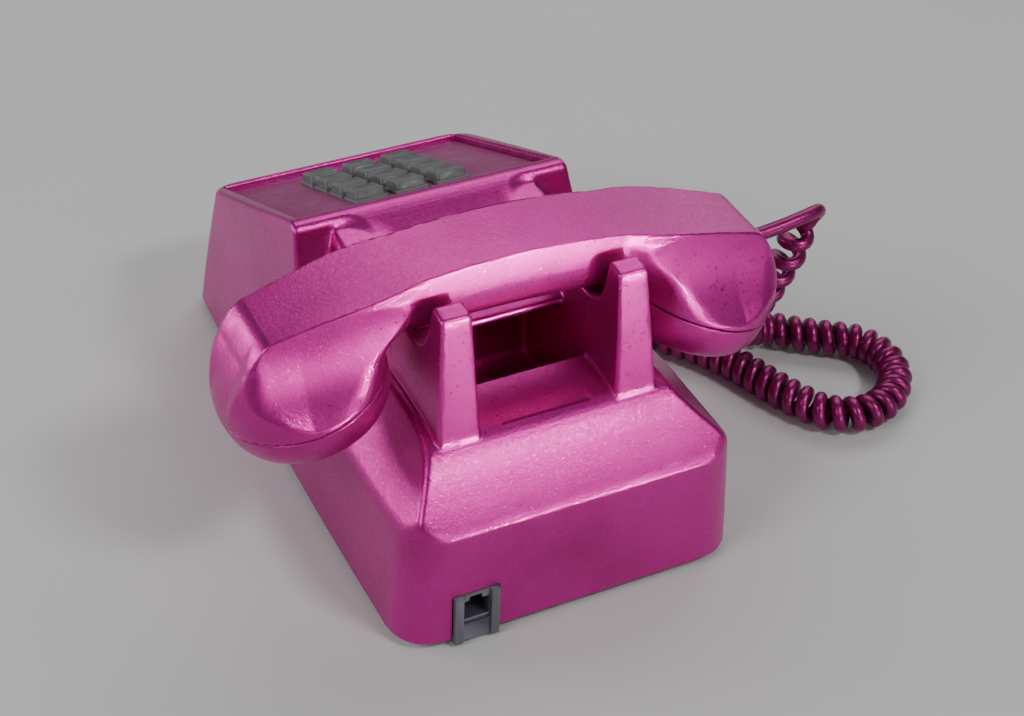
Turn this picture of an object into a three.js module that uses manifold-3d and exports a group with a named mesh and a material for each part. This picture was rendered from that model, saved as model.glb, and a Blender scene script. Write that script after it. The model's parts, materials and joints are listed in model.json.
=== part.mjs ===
// Push-button desk telephone: a shell on a steel base plate, a handset across two cradle ears,
// a keypad box in front, a ringer and a line switch inside, and a curly handset cord.
// Millimetres, +Z up, the user at -Y. The origin is at the middle of the footprint, on the table.
import * as THREE from 'three';
import { mergeVertices } from 'three/addons/utils/BufferGeometryUtils.js';
import Module from 'manifold-3d';

const wasm = await Module();
wasm.setup();

// ---- Driving dimensions ----
const BASE_DEPTH = 231;
const REAR_HALF_WIDTH = 63.8;
const BOTTOM_Z = 3;
const CREASE_Z = 50.4;
const WALL = 2.8;
const GAP = 0.3;
const REAR_Y = BASE_DEPTH / 2;
const FRONT_LEAN = Math.tan(THREE.MathUtils.degToRad(14.7));

const RIM_REAR = new THREE.Vector3(0, -8, 103.3);
const FACE_SLOPE = THREE.MathUtils.degToRad(24.6);
const RIM_WIDTH = 3.6;
const FACE_HALF_WIDTH = 51;
const FACE_LENGTH = 101.5;
const PLATE_DEPTH = 3;
const PLATE_THICK = 2.2;

const KEY_PITCH_X = 16.64;
const KEY_PITCH_F = 17;
const KEY_SIZE = 13.4;
const KEY_FIRST_F = 24.2;
const KEY_COLUMNS = 3;
const KEY_ROWS = 4;

const CHEEK_INNER = 26;
const CHEEK_OUTER = 41.4;
const SHOULDER_Z = 75.2;
const SADDLE_Z = 98.6;
const LEFT_BULGE = 6;
const SIDE_CREASE_X = 60.2;
const PLUNGER_X = 33;
const PLUNGER_Y = 57;
const PLUNGER_SIZE = 6;

const HOOK_PIN = new THREE.Vector3(0, 9, 55);
const HOOK_ARM_END_Y = 60;

const HANDSET_CENTRE = new THREE.Vector3(-0.9, 57.1, 127.8);
const HANDSET_TILT = THREE.MathUtils.degToRad(1.96);
const GRIP_HALF_WIDTH = 14.8;
const GRIP_DEPTH = 26;
const PANEL_END_X = 95;
const CUP_X = 76;
const CUP_Z = -43.9;
const CUP_RADIUS = 30.1;
const CUP_TILT = 0.308;
const SCOOP = { radius: 40.5, y: 55, z: -11.6, x: 84, turn: 0.093 };

const CORD_DIAMETER = 5.4;
const COIL_DIAMETER = 14.6;

// ---- Materials ----
const pink = { color: 0xb83c8f, roughness: 0.3, metalness: 0.15 };
const dullPink = { color: 0x8c3e6e, roughness: 0.5, metalness: 0.1 };
const keyGray = { color: 0x59595d, roughness: 0.5, metalness: 0 };
const darkGray = { color: 0x3a3a42, roughness: 0.5, metalness: 0 };
const steel = { color: 0xa9acb0, roughness: 0.4, metalness: 0.9 };
const brass = { color: 0xc09a4c, roughness: 0.35, metalness: 0.9 };
const copper = { color: 0x8a3f22, roughness: 0.5, metalness: 0.3 };
const black = { color: 0x1b1b1d, roughness: 0.6, metalness: 0 };
const board = { color: 0x8d7340, roughness: 0.6, metalness: 0 };
const white = { color: 0xd9d6cc, roughness: 0.5, metalness: 0 };
const cordPink = { color: 0x9c2f78, roughness: 0.35, metalness: 0 };

// ---- Solids: booleans on three.js meshes ----
function toSolid(geometry) {
  const bare = new THREE.BufferGeometry();
  bare.setAttribute('position', geometry.getAttribute('position').clone());
  if (geometry.index) bare.setIndex(geometry.index.clone());
  const merged = mergeVertices(bare, 1e-4);
  const solid = new wasm.Mesh({
    numProp: 3,
    vertProperties: new Float32Array(merged.getAttribute('position').array),
    triVerts: new Uint32Array(merged.index.array),
  });
  return new wasm.Manifold(solid);
}

function toGeometry(solid) {
  const mesh = solid.getMesh();
  const geometry = new THREE.BufferGeometry();
  geometry.setAttribute('position', new THREE.BufferAttribute(new Float32Array(mesh.vertProperties), 3));
  geometry.setIndex(new THREE.BufferAttribute(new Uint32Array(mesh.triVerts), 1));
  geometry.computeVertexNormals();
  return geometry;
}

function join(first, ...others) {
  return toGeometry(others.reduce((solid, other) => solid.add(toSolid(other)), toSolid(first)));
}

function cut(first, ...tools) {
  return toGeometry(tools.reduce((solid, tool) => solid.subtract(toSolid(tool)), toSolid(first)));
}

function common(first, ...others) {
  return toGeometry(others.reduce((solid, other) => solid.intersect(toSolid(other)), toSolid(first)));
}

// ---- Plain shapes ----
function box(x0, x1, y0, y1, z0, z1) {
  const geometry = new THREE.BoxGeometry(x1 - x0, y1 - y0, z1 - z0);
  return geometry.translate((x0 + x1) / 2, (y0 + y1) / 2, (z0 + z1) / 2);
}

function outlineShape(points) {
  return new THREE.Shape(points.map(([a, b]) => new THREE.Vector2(a, b)));
}

// A (y, z) outline swept along X.
function prismX(points, x0, x1) {
  const geometry = new THREE.ExtrudeGeometry(outlineShape(points), { depth: x1 - x0, bevelEnabled: false });
  const turn = new THREE.Matrix4().makeBasis(
    new THREE.Vector3(0, 1, 0), new THREE.Vector3(0, 0, 1), new THREE.Vector3(1, 0, 0));
  return geometry.applyMatrix4(turn).translate(x0, 0, 0);
}

// An (x, z) outline swept along Y.
function prismY(points, y0, y1) {
  const geometry = new THREE.ExtrudeGeometry(outlineShape(points), { depth: y1 - y0, bevelEnabled: false });
  return geometry.rotateX(Math.PI / 2).translate(0, y1, 0);
}

// An (x, y) outline swept along Z.
function prismZ(points, z0, z1) {
  const geometry = new THREE.ExtrudeGeometry(outlineShape(points), { depth: z1 - z0, bevelEnabled: false });
  return geometry.translate(0, 0, z0);
}

function reshape(geometry, change) {
  const position = geometry.getAttribute('position');
  const point = new THREE.Vector3();
  for (let i = 0; i < position.count; i += 1) {
    point.fromBufferAttribute(position, i);
    change(point);
    position.setXYZ(i, point.x, point.y, point.z);
  }
  return geometry;
}

// A turned piece on the Z axis from (radius, height) points.
function turned(points, segments = 24) {
  const profile = points.map(([r, z]) => new THREE.Vector2(r, z));
  return new THREE.LatheGeometry(profile, segments).rotateX(Math.PI / 2);
}

function rod(radius, z0, z1, segments = 16) {
  return turned([[0, z0], [radius, z0], [radius, z1], [0, z1]], segments);
}

// A closed skin over rings of points, with a fan over each end.
function loft(rings) {
  const count = rings[0].length;
  const points = rings.flat();
  const index = [];
  for (let r = 0; r < rings.length - 1; r += 1) {
    for (let i = 0; i < count; i += 1) {
      const a = r * count + i;
      const b = r * count + ((i + 1) % count);
      index.push(a, b, b + count, a, b + count, a + count);
    }
  }
  const ends = [rings[0], rings[rings.length - 1]];
  ends.forEach((ring, side) => {
    const middle = ring.reduce((sum, p) => sum.add(p), new THREE.Vector3()).divideScalar(count);
    const start = side === 0 ? 0 : (rings.length - 1) * count;
    const centre = points.push(middle) - 1;
    for (let i = 0; i < count; i += 1) {
      const next = start + ((i + 1) % count);
      if (side === 0) index.push(centre, next, start + i);
      else index.push(centre, start + i, next);
    }
  });
  const geometry = new THREE.BufferGeometry().setFromPoints(points);
  geometry.setIndex(index);
  return geometry;
}

function tube(points, diameter, steps, sides) {
  const shape = new THREE.Shape(Array.from({ length: sides }, (_, i) => {
    const angle = (2 * Math.PI * i) / sides;
    return new THREE.Vector2(Math.cos(angle), Math.sin(angle)).multiplyScalar(diameter / 2);
  }));
  const extrudePath = new THREE.CatmullRomCurve3(points);
  return new THREE.ExtrudeGeometry(shape, { steps, extrudePath, bevelEnabled: false });
}

const model = new THREE.Group();

function place(name, geometry, finish, group = model) {
  const mesh = new THREE.Mesh(geometry, new THREE.MeshStandardMaterial(finish));
  mesh.name = name;
  group.add(mesh);
  return mesh;
}

// ---- Shell ----
function halfWidth(y, z) {
  const fromRear = REAR_Y - y;
  const lean = 0.06 * (z - BOTTOM_Z) + 0.00035 * (z - BOTTOM_Z) ** 2;
  return REAR_HALF_WIDTH + 0.0274 * fromRear - 0.0002 * fromRear ** 2 - lean;
}

// The user's left side stands out a little more behind the keypad box, up to the side crease.
function leftBulge(y, z) {
  const back = THREE.MathUtils.smoothstep(y, -5, 70);
  return LEFT_BULGE * back * (1 - THREE.MathUtils.smoothstep(z, CREASE_Z, SHOULDER_Z + 5));
}

// Plan outline of the shell at height z, drawn in by inset.
function planRing(z, inset) {
  const rear = REAR_Y - inset;
  const front = -REAR_Y + (z - BOTTOM_Z) * FRONT_LEAN + inset;
  const corners = [[rear, 15 - inset, 1], [front, 11 - inset, -1]];
  const side = [];
  corners.forEach(([y, radius, way]) => {
    const width = halfWidth(y - way * radius, z) - inset;
    for (let i = 0; i <= 5; i += 1) {
      const step = way > 0 ? i : 5 - i;
      const angle = (Math.PI / 2) * (1 - step / 5);
      const out = new THREE.Vector2(Math.cos(angle), Math.sin(angle)).multiplyScalar(radius);
      side.push(new THREE.Vector3(width - radius + out.x, y - way * radius + way * out.y, z));
    }
    if (way > 0) {
      for (let i = 1; i < 6; i += 1) {
        const along = THREE.MathUtils.lerp(rear - 15, front + 11, i / 6);
        side.push(new THREE.Vector3(halfWidth(along, z) - inset, along, z));
      }
    }
  });
  const mirrored = side.map((p) => new THREE.Vector3(-p.x - leftBulge(p.y, p.z), p.y, p.z)).reverse();
  return [...side, ...mirrored].reverse();
}

function bodyLoft(bottom, inset) {
  return loft([bottom, 20, 35, CREASE_Z, 70, 90, 108].map((z) => planRing(z, inset)));
}

// Side view of the shell without the cradle: rear wall, deck, shoulder, brow, keypad slope.
function sideProfile(inset) {
  const drop = inset * 1.1;
  const far = 125;
  const slopeEnd = RIM_REAR.z - (far + RIM_REAR.y) * Math.tan(FACE_SLOPE);
  return [
    [far, -5], [far, CREASE_Z - inset * 0.4], [REAR_Y - inset, CREASE_Z - inset * 0.4],
    [112.6 - inset * 0.7, 54.2 - inset * 0.7], [108 - inset * 0.7, 59.2 - inset * 0.7],
    [101 - inset * 0.6, 66.2 - inset * 0.8], [93.4 - inset * 0.4, 72.2 - inset],
    [86, 74 - inset], [71, SHOULDER_Z - inset],
    [34, SHOULDER_Z - inset], [28, 76.5 - inset], [22 - inset * 0.5, 81 - inset],
    [12 - inset * 0.6, 91.5 - inset], [4 - inset * 0.4, 98.3 - drop], [-2, 101.8 - drop],
    [RIM_REAR.y, RIM_REAR.z - drop], [-far, slopeEnd - drop], [-far, -5],
  ];
}

// What slopes off the shoulders, from the cradle down to the side crease.
// It meets the crease where the wall is, further out on the bulging side.
function shoulderCut(side, inset) {
  const reach = side > 0 ? SIDE_CREASE_X : SIDE_CREASE_X + LEFT_BULGE;
  const points = [
    [43.5 - inset * 0.4, SHOULDER_Z + 0.6 - inset], [reach - inset, CREASE_Z - inset * 0.6],
    [85, CREASE_Z - inset * 0.6], [85, 125], [43.5 - inset * 0.4, 125],
  ].map(([x, z]) => [side * x, z]);
  const wedge = prismY(side > 0 ? points : points.reverse(), 0, 130);
  const rearWallY = (z) => -3 + (100 - z) * 0.35 - inset;
  return reshape(wedge, (p) => { p.y = p.y < 1 ? rearWallY(p.z) : p.y; });
}

// The finger recess's front edge, between the cradle's two sides.
const browOutline = [
  [-6, 80], [-6, 100], [4, 98.2], [20, 93.8], [38, 89.4], [51.5, 86], [51.5, 70], [10, 70],
];

const cheekOutline = [
  [93.4, 72], [86.9, 118.3], [86, 119.3], [79.6, 120.5], [78.4, 119.6], [77.6, 114.7], [76.8, 109.3],
  [75, 103.5], [71.5, 100.6], [66, SADDLE_Z], [46, SADDLE_Z], [41.5, 101.2], [38.6, 104.6], [36, 105.6],
  [32, 105], [26, 100.5], [12, 95.6], [2, 94], [2, 72],
];

// The ears and the saddle narrow a little towards the top.
function cheek(side) {
  const block = prismX(cheekOutline, CHEEK_INNER, CHEEK_OUTER);
  const middle = (CHEEK_INNER + CHEEK_OUTER) / 2;
  reshape(block, (p) => {
    const up = Math.max(0, p.z - 76);
    p.x += p.x > middle ? -0.073 * up : 0.025 * up;
  });
  if (side < 0) {
    const turn = new THREE.Matrix4().makeScale(-1, 1, 1);
    return mirrorWinding(block.applyMatrix4(turn));
  }
  return block;
}

function mirrorWinding(geometry) {
  const solid = geometry.index ? geometry.toNonIndexed() : geometry;
  const position = solid.getAttribute('position');
  const a = new THREE.Vector3();
  const b = new THREE.Vector3();
  for (let i = 0; i < position.count; i += 3) {
    a.fromBufferAttribute(position, i + 1);
    b.fromBufferAttribute(position, i + 2);
    position.setXYZ(i + 1, b.x, b.y, b.z);
    position.setXYZ(i + 2, a.x, a.y, a.z);
  }
  return solid;
}

const pocketOutline = [
  [70, 125], [70, 75], [68.5, 62], [62, 52.5], [50, 47], [30, 41.5], [24, 44.5], [22, 60],
  [25, 73], [32, 79], [44, 81.5], [51.5, 83.5], [51.5, 125],
];

const pocketWallOutline = [
  [72.9, 125], [72.9, 74], [71.3, 61], [63.6, 50], [51, 44.2], [30, 38.4], [21.4, 43], [19, 60],
  [22, 75], [31, 83], [54.5, 89], [54.5, 125],
];

function faceFrame(geometry) {
  // From (across, along the slope, above the face) to the telephone's own axes.
  const turn = new THREE.Matrix4().makeBasis(
    new THREE.Vector3(1, 0, 0),
    new THREE.Vector3(0, Math.cos(FACE_SLOPE), Math.sin(FACE_SLOPE)),
    new THREE.Vector3(0, -Math.sin(FACE_SLOPE), Math.cos(FACE_SLOPE)));
  return geometry.applyMatrix4(turn).translate(RIM_REAR.x, RIM_REAR.y, RIM_REAR.z);
}

// A block on the keypad face: across x, down the slope f, and height d above the rim's plane.
function faceBox(x0, x1, f0, f1, d0, d1) {
  return faceFrame(box(x0, x1, -f1, -f0, d0, d1));
}

const SCREW_YS = [109, -104];
const BOSS_RADIUS = 5.2;
const LINE_JACK = { x0: 28.2, x1: 45.2, y0: 97, z0: 1.6, z1: 23 };
const SIDE_JACK = { y0: -27, y1: -13, x1: -47, z0: 6.5, z1: 19.5 };

function shell() {
  const outer = common(bodyLoft(BOTTOM_Z, 0), prismX(sideProfile(0), -80, 80));
  const shaped = cut(outer, shoulderCut(1, 0), shoulderCut(-1, 0));
  const core = prismX(browOutline, -CHEEK_OUTER + 0.8, CHEEK_OUTER - 0.8);
  const solidBody = join(shaped, core, cheek(1), cheek(-1));
  const inner = common(bodyLoft(BOTTOM_Z - 2, WALL), prismX(sideProfile(WALL), -80, 80));
  const hollow = cut(inner, shoulderCut(1, WALL), shoulderCut(-1, WALL),
    prismX(pocketWallOutline, -CHEEK_INNER - WALL, CHEEK_INNER + WALL));
  const pocket = prismX(pocketOutline, -CHEEK_INNER, CHEEK_INNER);
  let body = cut(solidBody, hollow, pocket);
  const ledge = faceBox(-FACE_HALF_WIDTH - 3, FACE_HALF_WIDTH + 3, 1, FACE_LENGTH - 1.5, -8.4, -2.4);
  body = join(body, common(ledge, bodyLoft(BOTTOM_Z, 1)));
  const bosses = SCREW_YS.map((y) => rod(BOSS_RADIUS, 6, 20).translate(0, y, 0));
  body = join(body, ...bosses);
  const holes = SCREW_YS.map((y) => rod(2.2, 5, 17, 12).translate(0, y, 0));
  const recess = faceBox(-FACE_HALF_WIDTH, FACE_HALF_WIDTH, RIM_WIDTH, FACE_LENGTH - RIM_WIDTH,
    -PLATE_DEPTH - PLATE_THICK - GAP, 6);
  const window = faceBox(-47.5, 47.5, 7.5, FACE_LENGTH - 7.5, -14, 2);
  const nameplate = prismX([[91, 85], [91, 72.0], [86, 73.2], [78, 73.9], [78, 85]], -17, 17);
  const jackGap = box(LINE_JACK.x0 - GAP, LINE_JACK.x1 + GAP, 95, 120, 0, LINE_JACK.z1 + GAP);
  const sideGap = box(-70, SIDE_JACK.x1, SIDE_JACK.y0 - GAP, SIDE_JACK.y1 + GAP, 0, SIDE_JACK.z1 + GAP);
  const slots = [1, -1].map((side) => box(
    side * PLUNGER_X - PLUNGER_SIZE / 2 - GAP, side * PLUNGER_X + PLUNGER_SIZE / 2 + GAP,
    PLUNGER_Y - 5.3, PLUNGER_Y + 5.3, 60, 110));
  return cut(body, ...holes, recess, window, nameplate, jackGap, sideGap, ...slots);
}

// ---- Keypad ----
function keyCentres() {
  const centres = [];
  for (let row = 0; row < KEY_ROWS; row += 1) {
    for (let column = 0; column < KEY_COLUMNS; column += 1) {
      // Row 1 is the far one, towards the handset, and column 1 is on the user's left.
      centres.push({ row, column, x: (column - 1) * KEY_PITCH_X, f: KEY_FIRST_F + row * KEY_PITCH_F });
    }
  }
  return centres;
}

const BUTTON_NAMES = ['1', '2', '3', '4', '5', '6', '7', '8', '9', 'star', '0', 'hash'];
const KEY_SKIRT = { bottom: -7.6, top: -1.9 };
const KEY_TOP = 1.3;
const STEM_HALF = 2.6;
const STEM_END = -12.9;
const FRAME_TOP = -10.4;
const FRAME_THICK = 3;
const BOARD_TOP = -15.9;

function faceplate() {
  const plate = faceBox(-FACE_HALF_WIDTH + GAP, FACE_HALF_WIDTH - GAP, RIM_WIDTH + GAP,
    FACE_LENGTH - RIM_WIDTH - GAP, -PLATE_DEPTH - PLATE_THICK, -PLATE_DEPTH);
  const half = KEY_SIZE / 2 + 0.4;
  const holes = keyCentres().map(({ x, f }) => faceBox(x - half, x + half, f - half, f + half, -9, 0));
  return cut(plate, ...holes);
}

function key({ x, f }) {
  const half = KEY_SIZE / 2;
  const skirt = faceBox(x - half, x + half, f - half, f + half, KEY_SKIRT.bottom, KEY_SKIRT.top);
  const square = (size, d) => [[1, 1], [-1, 1], [-1, -1], [1, -1]]
    .map(([a, b]) => new THREE.Vector3(x + a * size, -f + b * size, d));
  const rings = [square(half - 0.7, -2.4), square(half - 0.9, -0.6), square(half - 1.7, KEY_TOP)];
  const cap = faceFrame(loft(rings));
  const stem = faceBox(
    x - STEM_HALF, x + STEM_HALF, f - STEM_HALF, f + STEM_HALF, STEM_END, KEY_SKIRT.bottom + 1);
  return join(skirt, cap, stem);
}

function keypadFrame() {
  const middle = KEY_FIRST_F + 1.5 * KEY_PITCH_F;
  const plate = faceBox(-29, 29, middle - 38, middle + 38, FRAME_TOP - FRAME_THICK, FRAME_TOP);
  const half = STEM_HALF + 0.4;
  const holes = keyCentres().map(({ x, f }) => faceBox(x - half, x + half, f - half, f + half, -14, -8));
  return cut(plate, ...holes);
}

function keypadBoard() {
  const middle = KEY_FIRST_F + 1.5 * KEY_PITCH_F;
  return faceBox(-27, 27, middle - 36, middle + 36, BOARD_TOP - 1.6, BOARD_TOP);
}

// ---- Base plate, feet, screws and jacks ----
const PLATE_Z = { bottom: 3.2, top: 4.8 };
const FOOT_SPOTS = [[46, 84], [-46, 84], [43, -96], [-43, -96]];

function basePlate() {
  const outline = planRing(4, WALL + 0.5).map((p) => [p.x, p.y]);
  const plate = prismZ(outline, PLATE_Z.bottom, PLATE_Z.top);
  const holes = SCREW_YS.map((y) => rod(2.2, 0, 8, 12).translate(0, y, 0));
  const jackNotch = box(LINE_JACK.x0 - 0.6, LINE_JACK.x1 + 0.6, LINE_JACK.y0 - 0.6, 130, 0, 8);
  const wheelY = RINGER.y + WHEEL.y;
  const wheelSlot = box(WHEEL.x - 2.6, WHEEL.x + 2.6, wheelY - 10.5, wheelY + 10.5, 0, 8);
  return cut(plate, ...holes, jackNotch, wheelSlot);
}

function foot() {
  return turned([[0, 0], [7.2, 0], [8, 0.8], [8, 2.9], [0, 2.9]], 20);
}

function screw() {
  return turned([[0, 1.1], [3.6, 1.1], [4, 1.6], [4, 2.9], [1.9, 2.9], [1.9, 16], [0, 16]], 12);
}

function lineJack() {
  const { x0, x1, y0, z0, z1 } = LINE_JACK;
  const middle = (x0 + x1) / 2;
  const core = box(x0, x1, y0, 115.2, z0, z1);
  const rails = [[x0, x0 + 3.2], [x1 - 3.2, x1]].map(([a, b]) => box(a, b, 114, 117.2, z0, z1));
  const lowerPlate = box(x0 + 3, x1 - 3, 114, 116.2, z0, 9.6);
  const socket = box(middle - 5.1, middle + 5.1, 102.5, 120, 11.2, 19.4);
  const latch = box(middle - 2.4, middle + 2.4, 104, 120, 19, 21.4);
  return cut(join(core, ...rails, lowerPlate), socket, latch);
}

const PLUG = { half: 3.8, low: 3.1, high: 3.3 };
const SIDE_PLUG_Z = 13;
const SIDE_PLUG_Y = (SIDE_JACK.y0 + SIDE_JACK.y1) / 2;
const SIDE_FACE_X = -halfWidth(SIDE_PLUG_Y, SIDE_PLUG_Z) + 0.4;

function sideJack() {
  const { y0, y1, x1, z0, z1 } = SIDE_JACK;
  const core = box(SIDE_FACE_X, x1 - GAP, y0, y1, z0, z1);
  const socket = box(-80, SIDE_FACE_X + 11.8, SIDE_PLUG_Y - 4.2, SIDE_PLUG_Y + 4.2,
    SIDE_PLUG_Z - 3.5, SIDE_PLUG_Z + 3.7);
  return cut(core, socket);
}

// A modular plug along +X whose cord leaves at -X, with its nose at x = 11.
function modularPlug() {
  const nose = box(0, 11, -PLUG.half, PLUG.half, -PLUG.low, PLUG.high);
  const tail = box(-2.6, 0.4, -3.2, 3.2, -2.8, 2.8);
  return join(nose, tail);
}

// ---- Line switch: plungers in the saddle, a forked lever on a pin ----
function plunger(side) {
  const half = PLUNGER_SIZE / 2;
  const x = side * PLUNGER_X;
  const stem = box(x - half, x + half, PLUNGER_Y - 5, PLUNGER_Y + 5, 61, 98);
  const headOutline = [[-5, 97], [5, 97], [5, 98.6], [3.4, 99.6], [-3.4, 99.6], [-5, 98.6]];
  const head = prismX(headOutline, x - half, x + half);
  return join(stem, head.translate(0, PLUNGER_Y, 0));
}

function hookLever() {
  const { y, z } = HOOK_PIN;
  const arms = [1, -1].map((side) => {
    const x = side * PLUNGER_X;
    return box(x - 2, x + 2, y - 4, HOOK_ARM_END_Y, z + 3.4, z + 5.5);
  });
  const bar = box(-PLUNGER_X, PLUNGER_X, y - 4, y + 4, z + 3.4, z + 5.5);
  const lugs = [1, -1].map((side) => {
    const x = side * 18;
    return box(x - 1.5, x + 1.5, y - 4, y + 4, z - 4, z + 4);
  });
  const bores = rod(1.8, -60, 60, 16).rotateY(Math.PI / 2).translate(0, y, z);
  return cut(join(bar, ...arms, ...lugs), bores);
}

function hookPin() {
  return rod(1.5, -26, 26, 12).rotateY(Math.PI / 2).translate(0, HOOK_PIN.y, HOOK_PIN.z);
}

function hookBracket() {
  const { y, z } = HOOK_PIN;
  const floor = box(-24, 24, y - 12, y + 9, 5.1, 6.9);
  const legs = [1, -1].map((side) => {
    const x = side * 22.5;
    return box(x - 1.5, x + 1.5, y - 6, y + 6, 6, z + 2.5);
  });
  const back = box(-22.5, 22.5, y - 6, y - 4.4, 6, 44);
  const bores = rod(1.8, -60, 60, 16).rotateY(Math.PI / 2).translate(0, y, z);
  return cut(join(floor, ...legs, back), bores);
}

// ---- Ringer: two gongs, a coil and a clapper between them ----
const RINGER = new THREE.Vector3(0, -50, 5.1);
const GONG_X = 26;
const CLAPPER_PIN_Y = -92;
const CORE_Y = -29;
const WHEEL = new THREE.Vector3(51, -26, 7.4);

function gong() {
  return turned([
    [2, 12.6], [12.5, 11.8], [17, 8.5], [18.8, 2], [20.2, 2], [18.4, 9.3], [13.6, 13.2], [2, 14.2], [2, 12.6],
  ], 24);
}

function gongPost() {
  return turned([[0, 0], [5, 0], [5, 12.2], [0, 12.2]], 16);
}

function gongScrew() {
  return turned([[0, 12.5], [1.6, 12.5], [1.6, 14.6], [4, 14.6], [4, 16], [3, 17], [0, 17]], 12);
}

function ringerFrame() {
  const plate = box(-38, 38, -14, 14, 0, 1.8);
  const posts = [1, -1].map((side) => gongPost().translate(side * GONG_X, 0, 0));
  const yoke = box(-9, 9, CLAPPER_PIN_Y - RINGER.y - 6, -13, 0, 1.8);
  const pinPost = box(-4, 4, CLAPPER_PIN_Y - RINGER.y - 4, CLAPPER_PIN_Y - RINGER.y + 4, 0, 6);
  const hole = rod(1.8, -1, 12, 12).translate(0, CLAPPER_PIN_Y - RINGER.y, 0);
  const strut = box(20, 26, WHEEL.y - 3, -13, 0, 1.8);
  const arm = box(20, WHEEL.x - 2.8, WHEEL.y - 3, WHEEL.y + 3, 0, 1.8);
  const tab = box(WHEEL.x - 4.4, WHEEL.x - 2.8, WHEEL.y - 3, WHEEL.y + 3, 0, WHEEL.z + 3);
  const axle = rod(1.4, WHEEL.x - 4, WHEEL.x + 3, 12).rotateY(Math.PI / 2).translate(0, WHEEL.y, WHEEL.z);
  return cut(join(plate, ...posts, yoke, pinPost, strut, arm, tab, axle), hole);
}

function ringerCoil() {
  return rod(8.5, -13, 13, 20).rotateY(Math.PI / 2).translate(0, CORE_Y, 32);
}

function ringerCore() {
  const legs = [1, -1].map((side) => {
    const x = side * 16.5;
    return box(x - 1.8, x + 1.8, CORE_Y - 4, CORE_Y + 4, 2.1, 38);
  });
  const bar = box(-18, 18, CORE_Y - 4, CORE_Y + 4, 2.1, 5);
  return join(bar, ...legs);
}

function clapper() {
  const start = CLAPPER_PIN_Y - RINGER.y;
  const hub = turned([[1.8, 6.4], [4, 6.4], [4, 10], [1.8, 10], [1.8, 6.4]], 16).translate(0, start, 0);
  const arm = box(-0.8, 0.8, start + 3.2, 2, 7, 9.2);
  const ball = new THREE.SphereGeometry(3.2, 12, 8).translate(0, 3.2, 8.1);
  return join(hub, arm, ball);
}

function clapperPin() {
  return rod(1.4, 2.2, 12, 12).translate(0, CLAPPER_PIN_Y - RINGER.y, 0);
}

function volumeWheel() {
  const wheel = rod(11, -2, 2, 24);
  const dents = Array.from({ length: 12 }, (_, i) => {
    const angle = (2 * Math.PI * i) / 12;
    return rod(1.1, -3, 3, 8).translate(11.3 * Math.cos(angle), 11.3 * Math.sin(angle), 0);
  });
  const bore = rod(1.8, -3, 3, 12);
  return cut(wheel, ...dents, bore).rotateY(Math.PI / 2);
}

// ---- Handset, in its own frame: x along the grip, z up, the top of the arch at 0 ----
function archZ(x) {
  return -2.035e-3 * x * x + 2.08e-8 * x ** 4;
}

function panelHalfWidth(x) {
  return GRIP_HALF_WIDTH - 0.9e-4 * x * x;
}

// Section of the grip at x: a flat top with crisp edges, bulging sides and a round belly.
function gripRing(x) {
  const top = archZ(x);
  const wide = panelHalfWidth(x);
  const depth = GRIP_DEPTH + 0.7 * top - 0.08 * Math.max(0, Math.abs(x) - 40);
  const half = [
    [0.5, 0], [1, 0], [1.07, -0.22], [1.13, -0.42], [1.04, -0.66], [0.8, -0.87], [0.4, -0.98], [0, -1],
  ];
  const right = half.map(([a, b]) => new THREE.Vector3(x, wide * a, top + depth * b));
  const left = half.slice(0, -1).map(([a, b]) => new THREE.Vector3(x, -wide * a, top + depth * b)).reverse();
  return [...right, ...left];
}

function grip() {
  const stations = Array.from({ length: 17 }, (_, i) => -PANEL_END_X + (2 * PANEL_END_X * i) / 16);
  return loft(stations.map(gripRing).reverse());
}

// A frame at a cup's parting circle: local z points up into the cup, away from the cap.
function cupFrame(side) {
  const frame = new THREE.Matrix4().makeRotationY(side * CUP_TILT);
  frame.setPosition(side * CUP_X, 0, CUP_Z);
  return frame;
}

// From the parting circle up to the edge of the flat top, on one smooth curve for each direction.
function cup(side) {
  const count = 36;
  const levels = 7;
  const frame = cupFrame(side);
  const up = new THREE.Vector3(0, 0, 1).transformDirection(frame);
  const panelMiddle = 72;
  const rings = Array.from({ length: levels + 1 }, () => []);
  for (let i = 0; i < count; i += 1) {
    const angle = (2 * Math.PI * i) / count;
    const way = new THREE.Vector2(Math.cos(angle), Math.sin(angle));
    const start = new THREE.Vector3(CUP_RADIUS * way.x, CUP_RADIUS * way.y, 0).applyMatrix4(frame);
    const reach = PANEL_END_X - panelMiddle - 0.6;
    const wide = panelHalfWidth(90) - 0.4;
    const scale = 1 / Math.max(Math.abs(way.x) / reach, Math.abs(way.y) / wide);
    const endX = side * panelMiddle + way.x * scale;
    const end = new THREE.Vector3(endX, way.y * scale, archZ(endX) - 1.2);
    const low = start.clone().addScaledVector(up, 15);
    const high = end.clone().add(new THREE.Vector3(way.x * 7, way.y * 6, -7));
    const curve = new THREE.CubicBezierCurve3(start, low, high, end);
    rings.forEach((ring, level) => ring.push(curve.getPoint(level / levels)));
  }
  return loft(rings);
}

function inCup(side, geometry) {
  return geometry.applyMatrix4(cupFrame(side));
}

// The round tool that hollows a cup's flank: side picks the cup, flank the face of it.
function scoop(side, flank) {
  const tool = rod(SCOOP.radius, -34, 34, 72).rotateY(Math.PI / 2).rotateZ(-side * flank * SCOOP.turn);
  return tool.translate(side * SCOOP.x, flank * SCOOP.y, SCOOP.z);
}

const SOCKET_END_X = -85.6;
const SOCKET_HALF = { y: 5.6, z: 5.4 };
const PLUG_SEAT = new THREE.Vector3(-100.8, -3.1, -30.2);

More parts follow.
